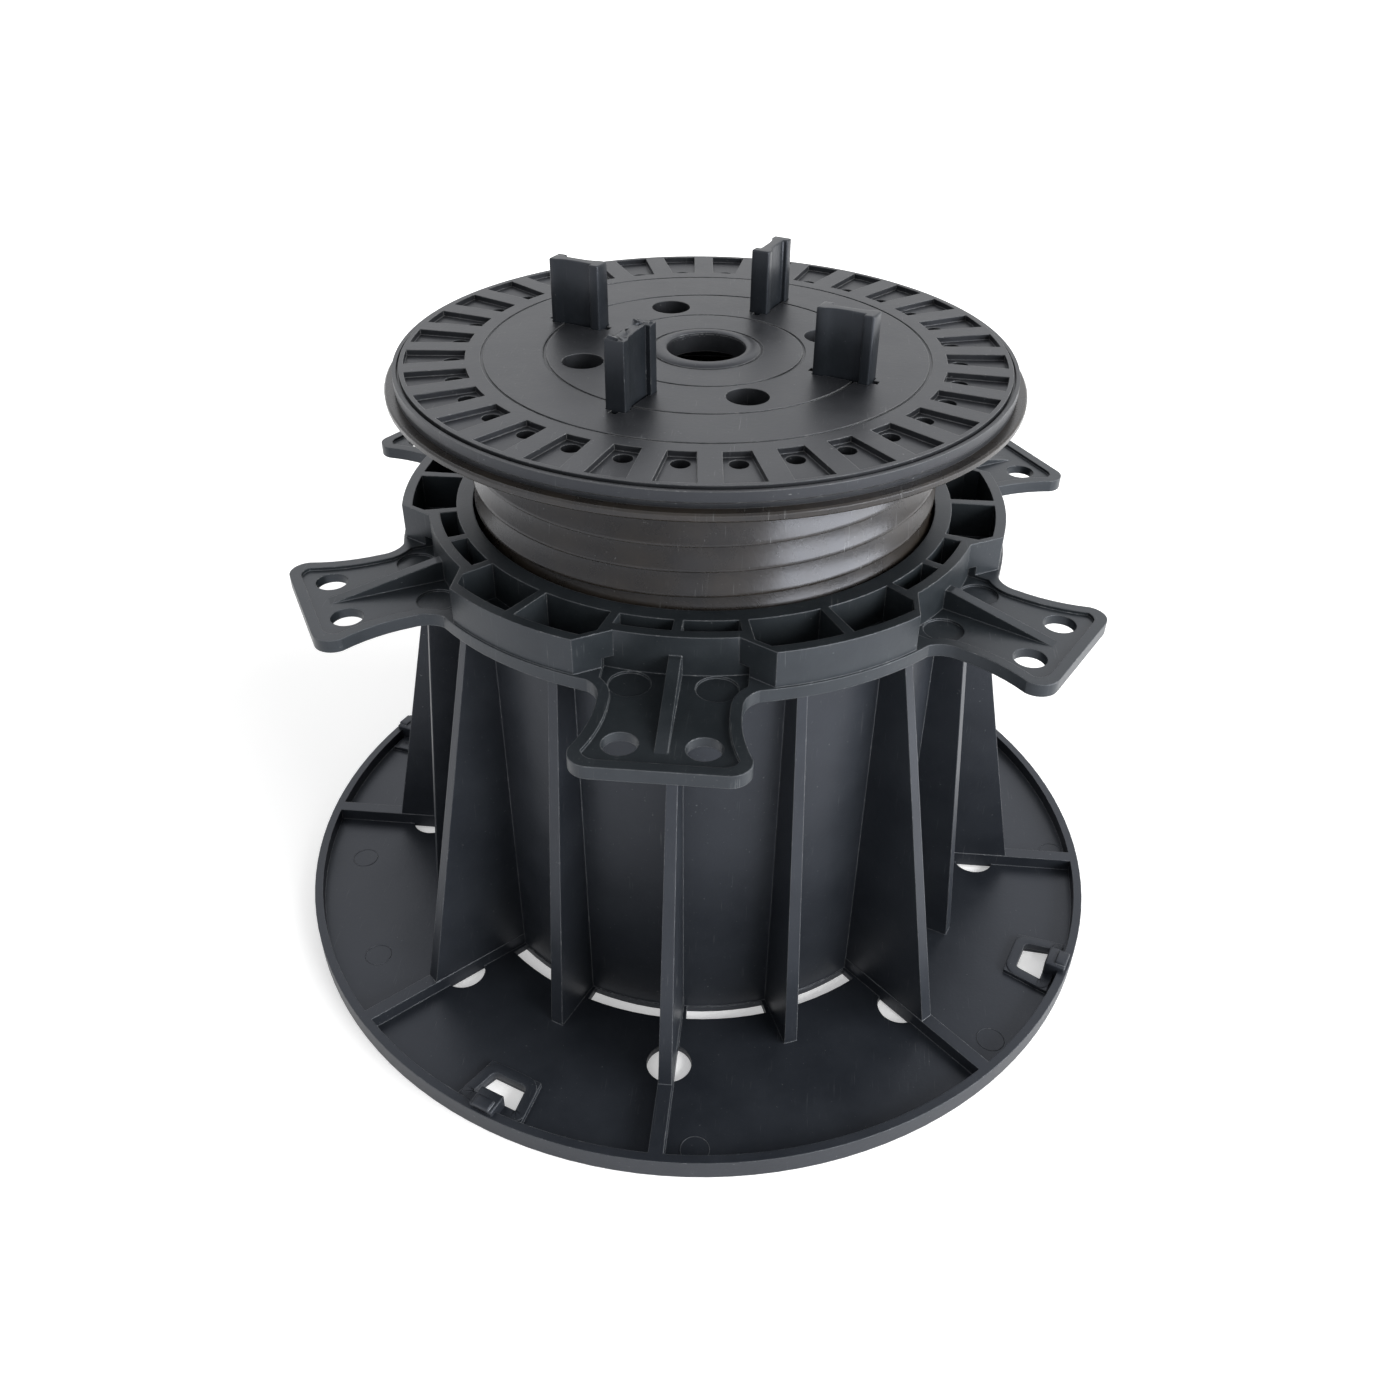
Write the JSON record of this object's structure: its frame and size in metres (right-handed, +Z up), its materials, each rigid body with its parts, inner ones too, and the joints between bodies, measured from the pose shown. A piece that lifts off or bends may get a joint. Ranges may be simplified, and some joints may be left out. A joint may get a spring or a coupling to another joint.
{
  "type": "raised floor pedestal",
  "caption": "Screw-adjustable plastic pedestal with a ribbed round base, a ring of bracing ears and a slotted head plate that carries the corners of floor slabs.",
  "frame": {"origin": "on the floor at the pedestal's axis, under the middle of the base plate", "axes": "+Z up along the screw's axis; -Y points along one ear of the bracing ring; +X completes the right-handed frame"},
  "size_m": [0.2, 0.2, 0.1513],
  "materials": {
    "base_plastic": "satin moulded black polypropylene",
    "ring_plastic": "satin moulded black polypropylene",
    "stem_plastic": "satin moulded black polypropylene with slight wear on the thread",
    "head_plastic": "satin moulded black polypropylene",
    "tab_plastic": "smooth moulded black polypropylene"
  },
  "bodies": {
    "support": {"base": "base_plastic", "bracing_ring": "ring_plastic"},
    "head": {"head_plate": "head_plastic", "spacer_tab_1": "tab_plastic", "spacer_tab_2": "tab_plastic", "spacer_tab_3": "tab_plastic", "spacer_tab_4": "tab_plastic"},
    "screw": {"screw_stem": "stem_plastic"}
  },
  "joints": [
    {"name": "head_lift", "type": "slide", "parent": "support", "child": "head", "axis": [0, 0, 1], "range_m": [-0.021, 0.064]},
    {"name": "screw_turn", "type": "hinge", "parent": "head", "child": "screw", "pos_m": [0, 0, 0], "axis": [0, 0, 1], "range_deg": [-1420, 4340]}
  ],
  "couplings": [
    {"joint": "head_lift", "follows": "screw_turn", "m_per_rad": 0.00084352}
  ]
}
